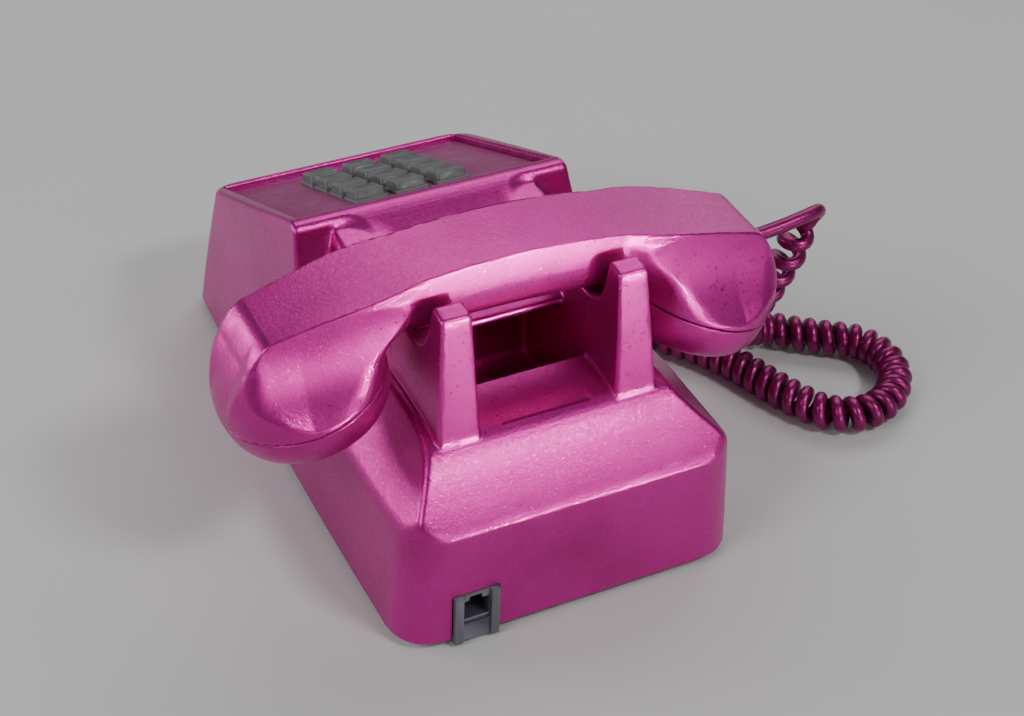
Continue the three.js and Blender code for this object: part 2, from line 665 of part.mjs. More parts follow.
// The block that the cord socket fills, from x0 to its inner end, grown by a gap all round.
function socketBlock(x0, grow) {
  const { y, z } = PLUG_SEAT;
  return box(x0, SOCKET_END_X + grow, y - SOCKET_HALF.y - grow, y + SOCKET_HALF.y + grow,
    z - SOCKET_HALF.z - grow, z + SOCKET_HALF.z + grow);
}

function handsetBody() {
  const scoops = [[1, 1], [1, -1], [-1, 1], [-1, -1]].map(([side, flank]) => scoop(side, flank));
  const outside = cut(join(grip(), cup(1), cup(-1)), ...scoops);
  const wellOutline = [[0, -2], [25.2, -2], [25.2, 1.8], [16, 6.9], [0, 8.4]];
  const wells = [1, -1].map((side) => inCup(side, turned(wellOutline, 32)));
  const duct = box(-70, 70, -5, 5, -17, -10);
  const throats = [1, -1].map((side) => box(side * 63 - 5, side * 63 + 5, -5, 5, -36, -16));
  return cut(outside, ...wells, duct, ...throats, socketBlock(-125, GAP));
}

function cap(side, holeRings) {
  const skin = turned([
    [0, -17.6], [9, -17.2], [20, -16.6], [25.2, -14.6], [28.4, -10.6], [29.7, -5.6], [CUP_RADIUS, -GAP],
    [26.6, -GAP], [26.6, -5.4], [25.4, -9.4], [22.8, -12.2], [19, -13.8], [0, -14.6],
  ], 36);
  const holes = [];
  holeRings.forEach(([count, radius]) => {
    for (let i = 0; i < count; i += 1) {
      const angle = (2 * Math.PI * i) / count;
      holes.push(rod(1.3, -20, -10, 8).translate(radius * Math.cos(angle), radius * Math.sin(angle), 0));
    }
  });
  return inCup(side, cut(skin, ...holes));
}

function receiverUnit() {
  return inCup(1, turned([[0, -12], [18, -12], [21, -9], [22.5, -6], [22.5, 1], [15, 6], [0, 6]], 28));
}

function transmitterUnit() {
  return inCup(-1, turned([[0, -12], [18, -12], [22, -8], [22, -1.5], [0, -1.5]], 28));
}

function transmitterCup() {
  return inCup(-1, turned([[0, -1], [21, -1], [24.8, -1], [24.8, 1.4], [14, 5.4], [0, 5.4]], 28));
}

function handsetSocket() {
  const { x, y, z } = PLUG_SEAT;
  const core = socketBlock(x + 1.4, 0);
  const hole = box(x - 5, x + 11.8, y - 4.2, y + 4.2, z - 3.5, z + 3.7);
  return cut(core, hole);
}

// ---- Cord routes, in the telephone's own axes ----
const LEAD_ROUTE = [
  [-104.9, 54, 94.1], [-116, 54, 95.2], [-124, 53.6, 96.2], [-130.4, 52.2, 96.2], [-133.4, 49.6, 93.6],
  [-133, 46.6, 88.4],
];

const COIL_ROUTE = [
  [-131.4, 43.6, 80.6], [-127.6, 41, 68], [-123.6, 37.4, 53], [-122.4, 30.6, 38], [-125.6, 22, 24],
  [-133.5, 14.4, 13],
  [-144, 11.5, 8.2], [-154, 18.6, 7.6], [-165, 26.6, 7.6], [-175.6, 35, 7.6], [-179.6, 48, 7.6],
  [-175, 61.6, 7.6], [-163.6, 71.4, 7.6], [-150, 73.4, 7.6], [-138.4, 67, 7.6], [-131, 54, 7.6],
  [-125.6, 40, 7.6], [-120.4, 26, 7.6], [-112.6, 12, 7.6], [-102.4, -1, 7.8], [-93, -11.4, 9.4],
  [-86, -17.4, 11.6],
];

const TAIL_ROUTE = [[-84.6, -18.4, 12.2], [-79, -19.8, 12.9], [-72.8, -20, 13], [-67.1, -20, 13]];

function route(points) {
  return points.map(([x, y, z]) => new THREE.Vector3(x, y, z));
}

// ---- Assembly ----
place('housing', shell(), pink);
place('faceplate', faceplate(), dullPink);
keyCentres().forEach((centre, i) => place(`key_${BUTTON_NAMES[i]}`, key(centre), keyGray));
place('keypad_frame', keypadFrame(), white);
place('keypad_board', keypadBoard(), board);

place('base_plate', basePlate(), steel);
FOOT_SPOTS.forEach(([x, y], i) => place(`foot_${i + 1}`, foot(), black).position.set(x, y, 0));
SCREW_YS.forEach((y, i) => place(`housing_screw_${i + 1}`, screw(), steel).position.set(0, y, 0));
place('line_jack', lineJack(), darkGray);
place('handset_jack', sideJack(), darkGray);

place('plunger_right', plunger(1), pink);
place('plunger_left', plunger(-1), pink);
place('hook_lever', hookLever(), white);
place('hook_pin', hookPin(), steel);
place('hook_bracket', hookBracket(), steel);
place('hook_switch', box(-8, 8, -11, 1.6, 46, 54), black);

const ringer = new THREE.Group();
ringer.position.copy(RINGER);
model.add(ringer);
place('ringer_frame', ringerFrame(), steel, ringer);
[['right', 1], ['left', -1]].forEach(([name, side]) => {
  place(`gong_${name}`, gong(), brass, ringer).position.set(side * GONG_X, 0, 0);
  place(`gong_screw_${name}`, gongScrew(), steel, ringer).position.set(side * GONG_X, 0, 0);
});
place('ringer_core', ringerCore(), steel, ringer);
place('ringer_coil', ringerCoil(), copper, ringer);
place('clapper', clapper(), brass, ringer);
place('clapper_pin', clapperPin(), steel, ringer);
place('volume_wheel', volumeWheel(), black, ringer).position.copy(WHEEL);

place('network_board', box(-40, 40, 30, 84, 9, 10.6), board);
place('network_block', box(-22, 22, 40, 70, 10.9, 30), black);

const handset = new THREE.Group();
handset.position.copy(HANDSET_CENTRE);
handset.rotation.y = -HANDSET_TILT;
model.add(handset);
place('handset_body', handsetBody(), pink, handset);
place('ear_cap', cap(1, [[1, 0], [6, 7]]), pink, handset);
place('mouth_cap', cap(-1, [[1, 0], [6, 7], [10, 13]]), pink, handset);
place('receiver_unit', receiverUnit(), darkGray, handset);
place('transmitter_unit', transmitterUnit(), darkGray, handset);
place('transmitter_cup', transmitterCup(), white, handset);
place('handset_socket', handsetSocket(), darkGray, handset);
place('cord_plug_handset', modularPlug(), white, handset).position.copy(PLUG_SEAT);

place('cord_plug_base', modularPlug(), white).position.set(SIDE_FACE_X, SIDE_PLUG_Y, SIDE_PLUG_Z);
place('cord_lead', tube(route(LEAD_ROUTE), CORD_DIAMETER, 8, 8), cordPink);
place('cord_coil', tube(route(COIL_ROUTE), COIL_DIAMETER, 40, 10), cordPink);
place('cord_tail', tube(route(TAIL_ROUTE), CORD_DIAMETER, 4, 8), cordPink);

export default model;
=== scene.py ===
"""The looks of a push-button desk telephone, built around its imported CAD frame.

Metres, +Z up, the user at -Y. Shapes are worked out in millimetres and scaled once, in mesh_of."""

import json
import math

import bmesh
import bpy
import numpy as np
from mathutils import Matrix, Vector


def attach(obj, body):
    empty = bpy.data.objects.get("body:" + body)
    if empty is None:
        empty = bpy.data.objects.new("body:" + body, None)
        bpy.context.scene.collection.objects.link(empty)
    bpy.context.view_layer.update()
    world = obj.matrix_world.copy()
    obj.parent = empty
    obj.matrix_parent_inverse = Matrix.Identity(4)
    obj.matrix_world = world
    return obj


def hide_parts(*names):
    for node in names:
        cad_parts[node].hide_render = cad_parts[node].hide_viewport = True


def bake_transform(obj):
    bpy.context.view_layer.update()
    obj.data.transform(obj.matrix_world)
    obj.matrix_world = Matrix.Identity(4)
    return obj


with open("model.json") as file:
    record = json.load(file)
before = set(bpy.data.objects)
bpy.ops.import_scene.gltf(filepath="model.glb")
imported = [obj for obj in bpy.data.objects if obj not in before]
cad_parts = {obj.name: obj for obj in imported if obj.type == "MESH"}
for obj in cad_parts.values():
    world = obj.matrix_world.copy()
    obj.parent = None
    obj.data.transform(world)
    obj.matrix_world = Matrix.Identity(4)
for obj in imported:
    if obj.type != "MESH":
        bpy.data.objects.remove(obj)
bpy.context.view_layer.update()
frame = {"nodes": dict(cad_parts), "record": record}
MM = 0.001
FINE = 1.0  # grid steps are this many times coarser while trying things


# ---- Fields: negative inside a solid, in millimetres ----
def round_max(a, b, r):
    """The overlap of two solids, with an edge of radius r."""
    return np.minimum(np.maximum(a, b), -r) + np.hypot(np.maximum(a + r, 0), np.maximum(b + r, 0))


def round_min(a, b, r):
    """Two solids joined, with a fillet of radius r."""
    return -round_max(-a, -b, r)


def cut_from(solid, tool, r):
    """A solid with a tool's shape taken out, and the cut's edge broken to radius r."""
    return round_max(solid, -tool, r)


def block(spans, r=0.5):
    """A box from (value, low, high) for each direction."""
    sides = [np.maximum(low - value, value - high) for value, low, high in spans]
    made = sides[0]
    for side in sides[1:]:
        made = round_max(made, side, r)
    return made


def rod_field(u, v, along, radius, low, high):
    """A round rod between two ends."""
    return np.maximum(np.hypot(u, v) - radius, np.maximum(low - along, along - high))


def soften(points, arc=4):
    """An outline whose corners are trimmed by each point's third number and bridged by a small curve."""
    corners = [np.array(p[:2], float) for p in points]
    made = []
    for i, (_, _, trim) in enumerate(points):
        before, here, after = corners[i - 1], corners[i], corners[(i + 1) % len(corners)]
        ends = []
        for other in (before, after):
            length = np.linalg.norm(other - here)
            ends.append(here + (other - here) * min(0.5, trim / length))
        for t in np.linspace(0, 1, arc + 1):
            made.append((1 - t) ** 2 * ends[0] + 2 * t * (1 - t) * here + t * t * ends[1])
    kept = [p for i, p in enumerate(made) if np.linalg.norm(p - made[i - 1]) > 1e-3]
    return np.array(kept)


def outline_field(u, v, outline):
    """Signed distance to a closed outline in the plane."""
    u, v = np.broadcast_arrays(u, v)
    nearest = np.full(u.shape, 1e9)
    inside = np.zeros(u.shape, bool)
    for (au, av), (bu, bv) in zip(np.roll(outline, 1, axis=0), outline):
        eu, ev = bu - au, bv - av
        t = np.clip(((u - au) * eu + (v - av) * ev) / (eu * eu + ev * ev), 0, 1)
        nearest = np.minimum(nearest, (u - au - eu * t) ** 2 + (v - av - ev * t) ** 2)
        if av != bv:
            inside ^= ((av > v) != (bv > v)) & (u < eu * (v - av) / ev + au)
    return np.where(inside, -1, 1) * np.sqrt(nearest)


# ---- Meshes from fields ----
CELL_CORNERS = np.array([(i, j, k) for i in (0, 1) for j in (0, 1) for k in (0, 1)])
CELL_EDGES = [
    (a, b) for a in range(8) for b in range(a + 1, 8) if np.abs(CELL_CORNERS[a] - CELL_CORNERS[b]).sum() == 1
]


def skin(field, low, high, step):
    """Points and quads on the surface where a field is zero, one point for each grid cell it crosses."""
    axes = [np.arange(a, b + step, step) for a, b in zip(low, high)]
    value = np.broadcast_to(field(*np.meshgrid(*axes, indexing="ij", sparse=True)), [len(a) for a in axes])
    inside = value < 0
    full = np.zeros([n - 1 for n in value.shape], np.int8)
    for i, j, k in CELL_CORNERS:
        full += inside[i : i + full.shape[0], j : j + full.shape[1], k : k + full.shape[2]]
    mixed = (full > 0) & (full < 8)
    cells = np.argwhere(mixed)
    number = np.full(mixed.shape, -1)
    number[mixed] = np.arange(len(cells))
    total, hits = np.zeros((len(cells), 3)), np.zeros(len(cells))
    corner_values = [value[tuple((cells + c).T)] for c in CELL_CORNERS]
    for a, b in CELL_EDGES:
        va, vb = corner_values[a], corner_values[b]
        crossed = (va < 0) != (vb < 0)
        t = va[crossed] / (va[crossed] - vb[crossed])
        total[crossed] += CELL_CORNERS[a] + t[:, None] * (CELL_CORNERS[b] - CELL_CORNERS[a])
        hits += crossed
    points = np.array(low) + (cells + total / hits[:, None]) * step
    quads = []
    for axis in range(3):
        first, second = (axis + 1) % 3, (axis + 2) % 3
        here = np.take(inside, range(inside.shape[axis] - 1), axis)
        there = np.take(inside, range(1, inside.shape[axis]), axis)
        edges = np.argwhere(here != there)
        edges = edges[(edges[:, first] > 0) & (edges[:, second] > 0)]
        edges = edges[(edges[:, first] < mixed.shape[first]) & (edges[:, second] < mixed.shape[second])]
        ring = []
        for back_first, back_second in ((1, 1), (0, 1), (0, 0), (1, 0)):
            cell = edges.copy()
            cell[:, first] -= back_first
            cell[:, second] -= back_second
            ring.append(number[tuple(cell.T)])
        ring = np.array(ring).T
        outward = here[tuple(edges.T)]
        ring[~outward] = ring[~outward][:, ::-1]
        quads.append(ring)
    return points, np.concatenate(quads)


def slope_of(field, points, value):
    """The field's slope at each point."""
    small = 0.02
    slopes = []
    for axis in range(3):
        moved = points.copy()
        moved[:, axis] += small
        slopes.append((field(*moved.T) - value) / small)
    return np.array(slopes).T


def settle(field, points, reach):
    """Points moved onto the surface, and their outward normals."""
    for _ in range(2):
        value = field(*points.T)
        slope = slope_of(field, points, value)
        move = value[:, None] * slope / np.maximum((slope**2).sum(1), 0.2)[:, None]
        length = np.linalg.norm(move, axis=1)[:, None]
        points = points - move * np.minimum(1, reach / np.maximum(length, 1e-9))
    slope = slope_of(field, points, field(*points.T))
    return points, slope / np.maximum(np.linalg.norm(slope, axis=1), 1e-9)[:, None]


def mesh_of(name, points, faces):
    mesh = bpy.data.meshes.new(name)
    mesh.from_pydata((np.asarray(points) * MM).tolist(), [], np.asarray(faces).tolist())
    return mesh


def ring_faces(rings, count):
    """Quads between neighbouring rings of points, and a face over each end."""
    faces = []
    for ring in range(rings - 1):
        for i in range(count):
            a, b = ring * count + i, ring * count + (i + 1) % count
            faces.append((a, b, b + count, a + count))
    last = (rings - 1) * count
    return faces + [tuple(range(count))[::-1], tuple(range(last, last + count))]


def link(name, mesh):
    piece = bpy.data.objects.new(name, mesh)
    bpy.context.scene.collection.objects.link(piece)
    return piece


def thinned(mesh, share):
    """The mesh with fewer triangles where it is flat."""
    holder = link("thinning", mesh)
    modifier = holder.modifiers.new("thin", "DECIMATE")
    modifier.ratio = share
    modifier.use_collapse_triangulate = True
    evaluated = holder.evaluated_get(bpy.context.evaluated_depsgraph_get())
    result = bpy.data.meshes.new_from_object(evaluated)
    bpy.data.objects.remove(holder)
    return result


def carved(name, field, low, high, step, share, place=Matrix.Identity(4)):
    """A piece from a field: its skin, thinned, settled on the surface and shaded by the field's slope."""
    step *= FINE
    points, quads = skin(field, low, high, step)
    mesh = thinned(mesh_of(name, points, quads), share)
    flat = np.empty(len(mesh.vertices) * 3, np.float32)
    mesh.vertices.foreach_get("co", flat)
    points, normals = settle(field, flat.reshape(-1, 3).astype(float) / MM, step * 0.6)
    mesh.vertices.foreach_set("co", (points * MM).astype(np.float32).ravel())
    mesh.polygons.foreach_set("use_smooth", np.ones(len(mesh.polygons), bool))
    mesh.update()
    mesh.normals_split_custom_set_from_vertices(normals.tolist())
    piece = link(name, mesh)
    mesh.transform(place)
    return piece


def finish_piece(piece, material, body, slot, *nodes):
    """Gives a piece its paint, the body it moves with and the CAD nodes that it stands for. The slot argument
    is not used.
    """
    piece.data.materials.clear()
    piece.data.materials.append(material)
    if nodes:
        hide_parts(*nodes)
    if body:
        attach(piece, body)
    return piece


# ---- Materials ----
class Finish:
    """A procedural material: a shader with its fixed values, and nodes added one by one."""

    def __init__(self, name, **fixed):
        self.material = bpy.data.materials.new(name)
        self.material.use_nodes = True
        self.tree = self.material.node_tree
        self.shader = self.tree.nodes["Principled BSDF"]
        for socket, value in fixed.items():
            self.shader.inputs[socket.replace("_", " ")].default_value = value
        self.place = self.tree.nodes.new("ShaderNodeTexCoord").outputs["Object"]

    def noise(self, scale, detail=2.0, roughness=0.5, stretch=None):
        node = self.tree.nodes.new("ShaderNodeTexNoise")
        node.inputs["Scale"].default_value = scale
        node.inputs["Detail"].default_value = detail
        node.inputs["Roughness"].default_value = roughness
        self.link_place(node, stretch)
        return node.outputs["Fac"]

    def cells(self, scale):
        node = self.tree.nodes.new("ShaderNodeTexVoronoi")
        node.inputs["Scale"].default_value = scale
        self.link_place(node)
        return node.outputs["Color"]

    def link_place(self, node, stretch=None):
        source = self.place
        if stretch:
            mapping = self.tree.nodes.new("ShaderNodeMapping")
            mapping.inputs["Scale"].default_value = stretch
            self.tree.links.new(source, mapping.inputs["Vector"])
            source = mapping.outputs["Vector"]
        self.tree.links.new(source, node.inputs["Vector"])

    def ramp(self, source, stops):
        node = self.tree.nodes.new("ShaderNodeValToRGB")
        ramp = node.color_ramp
        while len(ramp.elements) < len(stops):
            ramp.elements.new(0.5)
        for element, (at, colour) in zip(ramp.elements, stops):
            element.position = at
            element.color = colour if len(colour) == 4 else (*colour, 1)
        self.tree.links.new(source, node.inputs["Fac"])
        return node.outputs["Color"]

    def grey_ramp(self, source, stops):
        return self.ramp(source, [(at, (value, value, value)) for at, value in stops])

    def mix(self, first, second, factor):
        """The first colour turned into the second by a factor. Each is a value or a socket."""
        node = self.tree.nodes.new("ShaderNodeMix")
        node.data_type = "RGBA"
        for socket, value in ((node.inputs[6], first), (node.inputs[7], second), (node.inputs[0], factor)):
            if isinstance(value, bpy.types.NodeSocket):
                self.tree.links.new(value, socket)
            else:
                socket.default_value = value
        return node.outputs[2]

    def edge_wear(self, low, high):
        """White where the surface turns sharply outward."""
        node = self.tree.nodes.new("ShaderNodeNewGeometry")
        return self.grey_ramp(node.outputs["Pointiness"], [(low, 0), (high, 1)])

    def bump(self, source, strength, depth, under=None):
        node = self.tree.nodes.new("ShaderNodeBump")
        node.inputs["Strength"].default_value = strength
        node.inputs["Distance"].default_value = depth
        self.tree.links.new(source, node.inputs["Height"])
        if under:
            self.tree.links.new(under, node.inputs["Normal"])
        return node.outputs["Normal"]

    def set(self, socket, source):
        self.tree.links.new(source, self.shader.inputs[socket])


def gloss_paint(name, deep, usual, light):
    """Pearly gloss paint: a slightly uneven colour, fine flakes and an orange-peel surface."""
    made = Finish(name, Metallic=0.86, Coat_Weight=0.08, Coat_Roughness=0.2, Coat_IOR=1.45)
    cloud = made.ramp(made.noise(22, 4), [(0.3, deep), (0.52, usual), (0.75, light)])
    flakes = made.grey_ramp(made.cells(2600), [(0.6, 0), (1.0, 0.22)])
    colour = made.mix(cloud, (*[min(1, c * 1.7 + 0.06) for c in light], 1), flakes)
    specks = made.grey_ramp(made.noise(300, 2, 0.4), [(0.80, 0), (0.82, 0.75)])
    made.set("Base Color", made.mix(colour, (*[c * 0.2 for c in deep], 1), specks))
    made.set("Roughness", made.grey_ramp(made.noise(700, 5, 0.7), [(0.3, 0.24), (0.7, 0.42)]))
    peel = made.bump(made.noise(620, 3, 0.55), 0.2, 0.0004)
    made.set("Normal", made.bump(made.noise(1700, 2, 0.6), 0.45, 0.0002, peel))
    return made.material


def satin_plastic(name, deep, usual, rough=0.5, wear=None, grain=900, depth=0.25):
    """Moulded plastic with a fine grain, and a worn colour on its outer edges if one is given."""
    made = Finish(name, IOR=1.48)
    colour = made.ramp(made.noise(60, 5, 0.6), [(0.3, deep), (0.7, usual)])
    if wear:
        colour = made.mix(colour, (*wear, 1), made.edge_wear(0.52, 0.62))
    made.set("Base Color", colour)
    made.set("Roughness", made.grey_ramp(made.noise(250, 4), [(0.3, rough - 0.08), (0.7, rough + 0.1)]))
    made.set("Normal", made.bump(made.noise(grain, 4, 0.6), depth, 0.0003))
    return made.material


def metal(name, deep, usual, rough, stretch=(1, 12, 12)):
    """Brushed or plated metal with faint streaks and stains."""
    made = Finish(name, Metallic=1.0)
    streaks = made.noise(300, 4, 0.6, stretch)
    stain = made.ramp(made.noise(45, 5, 0.6), [(0.35, deep), (0.65, usual)])
    darkening = made.grey_ramp(streaks, [(0.4, 0), (0.8, 0.5)])
    made.set("Base Color", made.mix(stain, (*[c * 0.7 for c in deep], 1), darkening))
    made.set("Roughness", made.grey_ramp(streaks, [(0.3, rough - 0.08), (0.7, rough + 0.12)]))
    made.set("Normal", made.bump(streaks, 0.15, 0.0002))
    return made.material


SHELL = gloss_paint("shell_paint", (0.44, 0.013, 0.215), (0.56, 0.020, 0.290), (0.61, 0.024, 0.322))
# The faceplate carries the shell's pink, darkened to about half its brightness as painted shade of the recess
# it sits in.
SHADED_PLATE = satin_plastic("plate_paint_painted_shade", (0.225, 0.022, 0.118), (0.275, 0.032, 0.150), 0.46, None, 700, 0.3)
KEY = satin_plastic("key_plastic", (0.060, 0.061, 0.070), (0.092, 0.093, 0.103), 0.38, (0.26, 0.27, 0.21))
JACK = satin_plastic("jack_plastic", (0.036, 0.036, 0.050), (0.060, 0.058, 0.076), 0.45, (0.16, 0.155, 0.19))
CORD = gloss_paint("cord_jacket", (0.20, 0.010, 0.095), (0.27, 0.016, 0.130), (0.32, 0.020, 0.160))
CLEAR = satin_plastic("plug_plastic", (0.42, 0.42, 0.42), (0.58, 0.58, 0.57), 0.2)
NATURAL = satin_plastic("natural_plastic", (0.52, 0.50, 0.43), (0.64, 0.62, 0.55), 0.5)
BOARD = satin_plastic("board_laminate", (0.20, 0.13, 0.05), (0.32, 0.22, 0.09), 0.6)
BLACK = satin_plastic("black_plastic", (0.014, 0.014, 0.016), (0.026, 0.026, 0.028), 0.5)
RUBBER = satin_plastic("foot_rubber", (0.012, 0.012, 0.012), (0.028, 0.027, 0.026), 0.75, None, 1400, 0.6)
STEEL = metal("zinc_steel", (0.40, 0.40, 0.37), (0.56, 0.56, 0.55), 0.36)
BRASS = metal("bell_brass", (0.44, 0.29, 0.08), (0.62, 0.45, 0.17), 0.3)
COPPER = satin_plastic("coil_wire", (0.16, 0.035, 0.015), (0.30, 0.075, 0.035), 0.35, None, 1100, 0.8)
FINISHES = {
    "shell_pink": SHELL, "plate_pink": SHADED_PLATE, "key_gray": KEY, "jack_gray": JACK, "natural_plastic": NATURAL,
    "clear_plastic": CLEAR, "board_tan": BOARD, "black_plastic": BLACK, "foot_rubber": RUBBER,
    "zinc_steel": STEEL, "bell_brass": BRASS, "coil_wrap": COPPER, "cord_pink": CORD,
}


# ---- Camera ----
CAMERA_PLACE = (0.25707, 0.55916, 0.52117)
CAMERA_YAW, CAMERA_PITCH, CAMERA_ROLL = 207.408, 38.566, 2.508  # degrees, the pitch downwards
CAMERA_LENS, CAMERA_SENSOR = 71.54, 36


def make_camera():
    yaw, pitch, roll = (math.radians(turn) for turn in (CAMERA_YAW, CAMERA_PITCH, CAMERA_ROLL))
    ahead = Vector((math.sin(yaw) * math.cos(pitch), math.cos(yaw) * math.cos(pitch), -math.sin(pitch)))
    level = Vector((math.cos(yaw), -math.sin(yaw), 0))
    above = level.cross(ahead)
    right = math.cos(roll) * level + math.sin(roll) * above
    up = -math.sin(roll) * level + math.cos(roll) * above
    data = bpy.data.cameras.new("camera")
    data.sensor_width = CAMERA_SENSOR
    data.lens = CAMERA_LENS
    data.clip_start, data.clip_end = 0.05, 20
    camera = bpy.data.objects.new("camera", data)
    turn = Matrix((right, up, -ahead)).transposed().to_4x4()
    camera.matrix_world = Matrix.Translation(CAMERA_PLACE) @ turn
    bpy.context.scene.collection.objects.link(camera)
    bpy.context.scene.camera = camera


make_camera()

# ---- Handset cord: a straight lead, turns that hang, a curly run on the table, a straight tail ----
CORD_DIAMETER = 5.4
CORD_SIDES = 12
HELIX_RADIUS = 4.6
LOOSE_PITCH, TIGHT_PITCH = 9.4, 6.3
PITCH_SWING, PITCH_SWING_LENGTH = 0.05, 17
FIRST_POINT_ON_TABLE = 5  # in COIL_ROUTE
LEAD_ROUTE = [
    (-102.8, 54, 93.9), (-107.6, 54, 94.2), (-116, 54, 95.2), (-124, 53.6, 96.2), (-130.4, 52.2, 96.2),
    (-133.4, 49.6, 93.6), (-133, 46.6, 88.4),
]
COIL_ROUTE = [
    (-131.4, 43.6, 80.6), (-127.6, 41, 68), (-123.6, 37.4, 53), (-122.4, 30.6, 38), (-125.6, 22, 24),
    (-133.5, 14.4, 13), (-144, 11.5, 8.2), (-154, 18.6, 7.6), (-165, 26.6, 7.6), (-175.6, 35, 7.6),
    (-179.6, 48, 7.6), (-175, 61.6, 7.6), (-163.6, 71.4, 7.6), (-150, 73.4, 7.6), (-138.4, 67, 7.6),
    (-131, 54, 7.6), (-125.6, 40, 7.6), (-120.4, 26, 7.6), (-112.6, 12, 7.6), (-102.4, -1, 7.8),
    (-93, -11.4, 9.4), (-86, -17.4, 11.6),
]
TAIL_ROUTE = [(-84.6, -18.4, 12.2), (-79, -19.8, 12.9), (-72.8, -20, 13), (-68.6, -20, 13)]


def smooth_line(points, spacing):
    """Evenly spaced points on a smooth curve through the given ones."""
    p = np.array(points, float)
    p = np.vstack([2 * p[0] - p[1], p, 2 * p[-1] - p[-2]])
    t = np.linspace(0, 1, 24, endpoint=False)[:, None]
    spans = []
    for a, b, c, d in zip(p, p[1:], p[2:], p[3:]):
        spans.append(b + 0.5 * t * (c - a + t * (2 * a - 5 * b + 4 * c - d + t * (3 * (b - c) + d - a))))
    line = np.vstack([*spans, p[-2:-1]])
    along = np.concatenate([[0], np.cumsum(np.linalg.norm(np.diff(line, axis=0), axis=1))])
    even = np.linspace(0, along[-1], int(along[-1] / spacing) + 1)
    return np.array([np.interp(even, along, line[:, k]) for k in range(3)]).T, even


def frames_along(line):
    """Two directions square to the line at each point, carried along it without twisting."""
    ahead = np.gradient(line, axis=0)
    ahead /= np.linalg.norm(ahead, axis=1)[:, None]
    side = np.cross(ahead[0], (0, 0, 1.0))
    sides = []
    for way in ahead:
        side = side - way * (side @ way)
        side /= np.linalg.norm(side)
        sides.append(side)
    sides = np.array(sides)
    return sides, np.cross(ahead, sides)


def ease(value, start, end):
    """From 0 at start to 1 at end, without a corner."""
    t = np.clip((value - start) / (end - start), 0, 1)
    return t * t * (3 - 2 * t)


def cord_line():
    """The centreline of the whole cord."""
    whole, along = smooth_line(LEAD_ROUTE + COIL_ROUTE + TAIL_ROUTE, 0.35)
    first = along[np.argmin(np.linalg.norm(whole - COIL_ROUTE[0], axis=1))]
    last = along[np.argmin(np.linalg.norm(whole - COIL_ROUTE[-1], axis=1))]
    landing = along[np.argmin(np.linalg.norm(whole - COIL_ROUTE[FIRST_POINT_ON_TABLE], axis=1))]
    radius = HELIX_RADIUS * ease(along, first - 9, first + 7) * (1 - ease(along, last - 7, last + 9))
    pitch = LOOSE_PITCH + (TIGHT_PITCH - LOOSE_PITCH) * ease(along, landing - 34, landing + 4)
    pitch = pitch * (1 + PITCH_SWING * np.sin(along / PITCH_SWING_LENGTH))
    phase = np.concatenate([[0], np.cumsum(2 * np.pi * np.diff(along) / pitch[1:])])
    sides, ups = frames_along(whole)
    helix = whole + radius[:, None] * (sides * np.cos(phase)[:, None] + ups * np.sin(phase)[:, None])
    helix[:, 2] = np.maximum(helix[:, 2], CORD_DIAMETER / 2 + 0.2)
    return smooth_line(helix[::2], 1.5)[0]


def tube_mesh(name, line, radius, sides):
    """A round tube along a line, closed at both ends."""
    side, up = frames_along(line)
    angle = np.linspace(0, 2 * np.pi, sides, endpoint=False)
    ring = side[:, None] * np.cos(angle)[:, None] + up[:, None] * np.sin(angle)[:, None]
    points = (line[:, None] + ring * radius).reshape(-1, 3)
    mesh = bpy.data.meshes.new(name)
    mesh.from_pydata((points * MM).tolist(), [], ring_faces(len(line), sides))
    mesh.polygons.foreach_set("use_smooth", np.ones(len(mesh.polygons), bool))
    return mesh


def make_cord():
    line = cord_line()
    cord = link("handset_cord", tube_mesh("handset_cord", line, CORD_DIAMETER / 2, CORD_SIDES))
    finish_piece(cord, CORD, None, "cord_pink", "cord_lead", "cord_coil", "cord_tail")
    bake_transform(cord)


make_cord()

# ---- Housing ----
REAR_Y = 115.5
BOTTOM_Z = 3.0
WALL = 2.8
FRONT_LEAN = math.radians(14.7)
FACE_SLOPE = math.radians(24.6)
RIM_REAR_Y, RIM_REAR_Z = -8.0, 103.3
FACE_LENGTH, FACE_HALF_WIDTH, RIM_WIDTH = 101.5, 51.0, 3.6
PLATE_BOTTOM = -5.2
# Outlines seen from the side: (y, z, how far the corner is trimmed)
SIDE_PROFILE = soften([
    (160, -20, 0), (160, 50.4, 0), (115.5, 50.4, 3.5), (112.6, 54.2, 9), (108, 59.2, 9), (101, 66.2, 9),
    (93.4, 72.2, 9), (86, 74, 9), (71, 75.2, 9), (34, 75.2, 9), (28, 76.5, 9), (22, 81, 9), (12, 91.5, 9),
    (4, 98.3, 9), (-2, 101.8, 9), (RIM_REAR_Y, RIM_REAR_Z, 2.5),
    (-160, RIM_REAR_Z - (160 + RIM_REAR_Y) * math.tan(FACE_SLOPE), 0), (-160, -20, 0),
])
BROW_OUTLINE = soften([
    (-6, 80, 0), (-6, 100, 0), (4, 98.2, 0), (20, 93.8, 9), (38, 89.4, 9), (51.5, 86, 1.5),
    (51.5, 70, 0), (10, 70, 0),
])
CHEEK_OUTLINE = soften([
    (93.4, 72, 0), (86.9, 118.3, 2), (86, 119.3, 1), (79.6, 120.5, 1.5), (78.4, 119.6, 1.5), (77.6, 114.7, 9),
    (76.8, 109.3, 9), (75, 103.5, 9), (71.5, 100.6, 9), (66, 98.6, 9), (46, 98.6, 9), (41.5, 101.2, 9),
    (38.6, 104.6, 9), (36, 105.6, 9), (32, 105, 9), (26, 100.5, 9), (12, 95.6, 9), (2, 94, 0), (2, 72, 0),
])
POCKET_OUTLINE = soften([
    (70, 125, 0), (70, 75, 2), (68.5, 62, 9), (62, 52.5, 9), (50, 47, 9), (30, 41.5, 5), (24, 44.5, 5),
    (22, 60, 9), (25, 73, 9), (32, 79, 9), (44, 81.5, 9), (51.5, 83.5, 1.5), (51.5, 125, 0),
])
